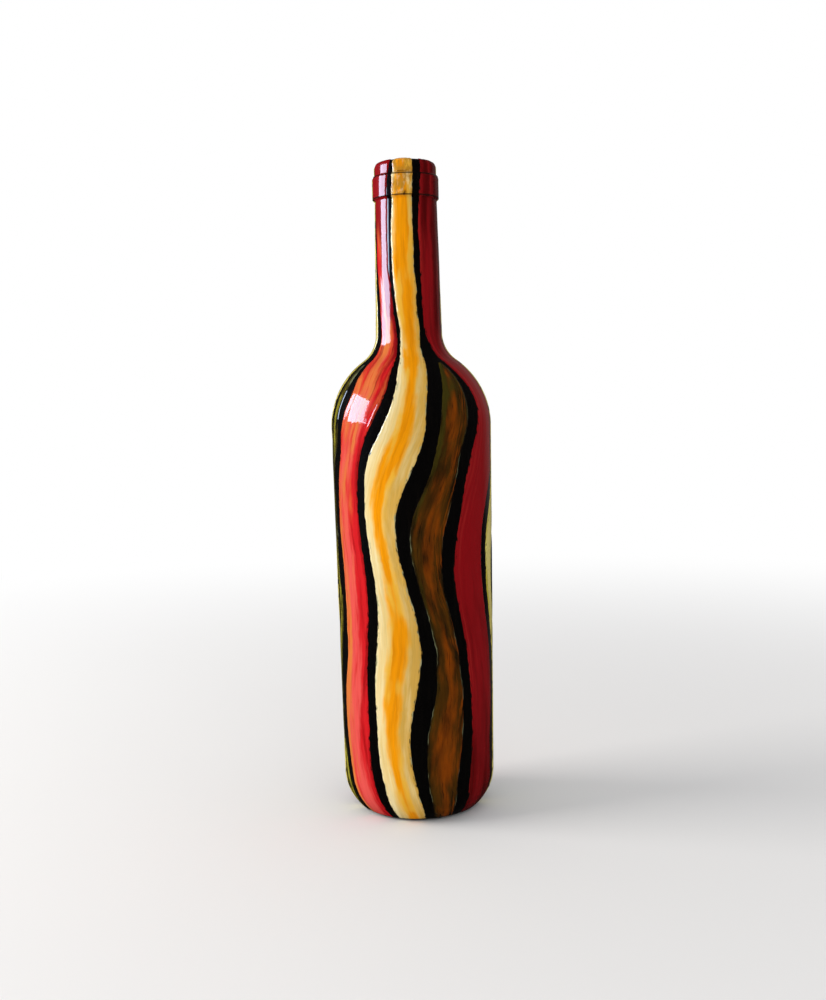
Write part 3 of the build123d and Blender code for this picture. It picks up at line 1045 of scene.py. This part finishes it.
def add_lamps(studio):
    """A window at the left, as a clear reflection and as soft light, and a weak fill near the camera."""
    rise = studio.window_base + studio.window_rise / 2
    turn, away = studio.window_turn, studio.window_distance
    window = (-away * math.sin(turn), -away * math.cos(turn), rise)
    window_size = (studio.window_width, studio.window_rise)
    front, front_size = (0.35, -1.6, 1.3), (1.4, 1.0)
    settings = (
        ("window_reflection", window, window_size, studio.window_shine, "#cfe2ff", True),
        ("window_light", window, window_size, studio.window_power, "#fffaf5", False),
        ("front_fill", front, front_size, studio.fill_power, "#ffffff", False),
    )
    lamps = []
    for name, place, size, power, hex_colour, reflected in settings:
        light = bpy.data.lights.new(name, "AREA")
        light.shape = "RECTANGLE"
        light.size, light.size_y = size
        light.energy = power
        light.color = linear(hex_colour)
        lamp = placed(name, light)
        # an area lamp shines along its -Z
        away_from = Vector(place) - Vector((0, 0, GLASS_TOP.z / 2))
        aim = away_from.to_track_quat("Z", "Y").to_matrix().to_4x4()
        lamp.matrix_world = Matrix.Translation(place) @ aim
        lamp.visible_diffuse = not reflected
        lamp.visible_glossy = reflected
        lamp.visible_camera = False
        lamps.append(lamp)
    return lamps


def add_camera(studio):
    """The camera: level with the neck, pitched down a little and rolled a little."""
    data = bpy.data.cameras.new("camera")
    data.lens = studio.camera_lens
    data.sensor_width = 36
    camera = placed("camera", data)
    place = Matrix.Translation((0, -studio.camera_distance, studio.camera_height))
    pitch = Matrix.Rotation(QUARTER_TURN - studio.camera_pitch, 4, "X")
    camera.matrix_world = place @ pitch @ Matrix.Rotation(-studio.camera_roll, 4, "Z")
    return camera


class BOTTLE_PT_tools(Panel):
    """Sidebar panel with a button for each step and all sizes."""

    bl_label = "Painted Bottle"
    bl_idname = "BOTTLE_PT_tools"
    bl_space_type = "VIEW_3D"
    bl_region_type = "UI"
    bl_category = "Bottle"

    def draw(self, context):
        for step in STEPS:
            self.layout.operator(step.bl_idname)
        for name, group in SETTINGS.items():
            self.layout.separator()
            for setting in group.__annotations__:
                self.layout.prop(getattr(context.scene, name), setting)


STEPS = (
    BOTTLE_OT_add_glass,
    BOTTLE_OT_add_ground_coat,
    BOTTLE_OT_add_stripes,
    BOTTLE_OT_add_cores,
    BOTTLE_OT_set_up_studio,
)
CLASSES = (*SETTINGS.values(), *STEPS, BOTTLE_PT_tools)


def register():
    for one in CLASSES:
        bpy.utils.register_class(one)
    for name, group in SETTINGS.items():
        setattr(bpy.types.Scene, name, PointerProperty(type=group))


def unregister():
    for name in SETTINGS:
        delattr(bpy.types.Scene, name)
    for one in reversed(CLASSES):
        bpy.utils.unregister_class(one)


def main():
    register()
    bpy.ops.bottle.add_glass()
    bpy.ops.bottle.add_ground_coat()
    bpy.ops.bottle.add_stripes()
    bpy.ops.bottle.add_cores()
    bpy.ops.bottle.set_up_studio()


if __name__ == "__main__":
    main()
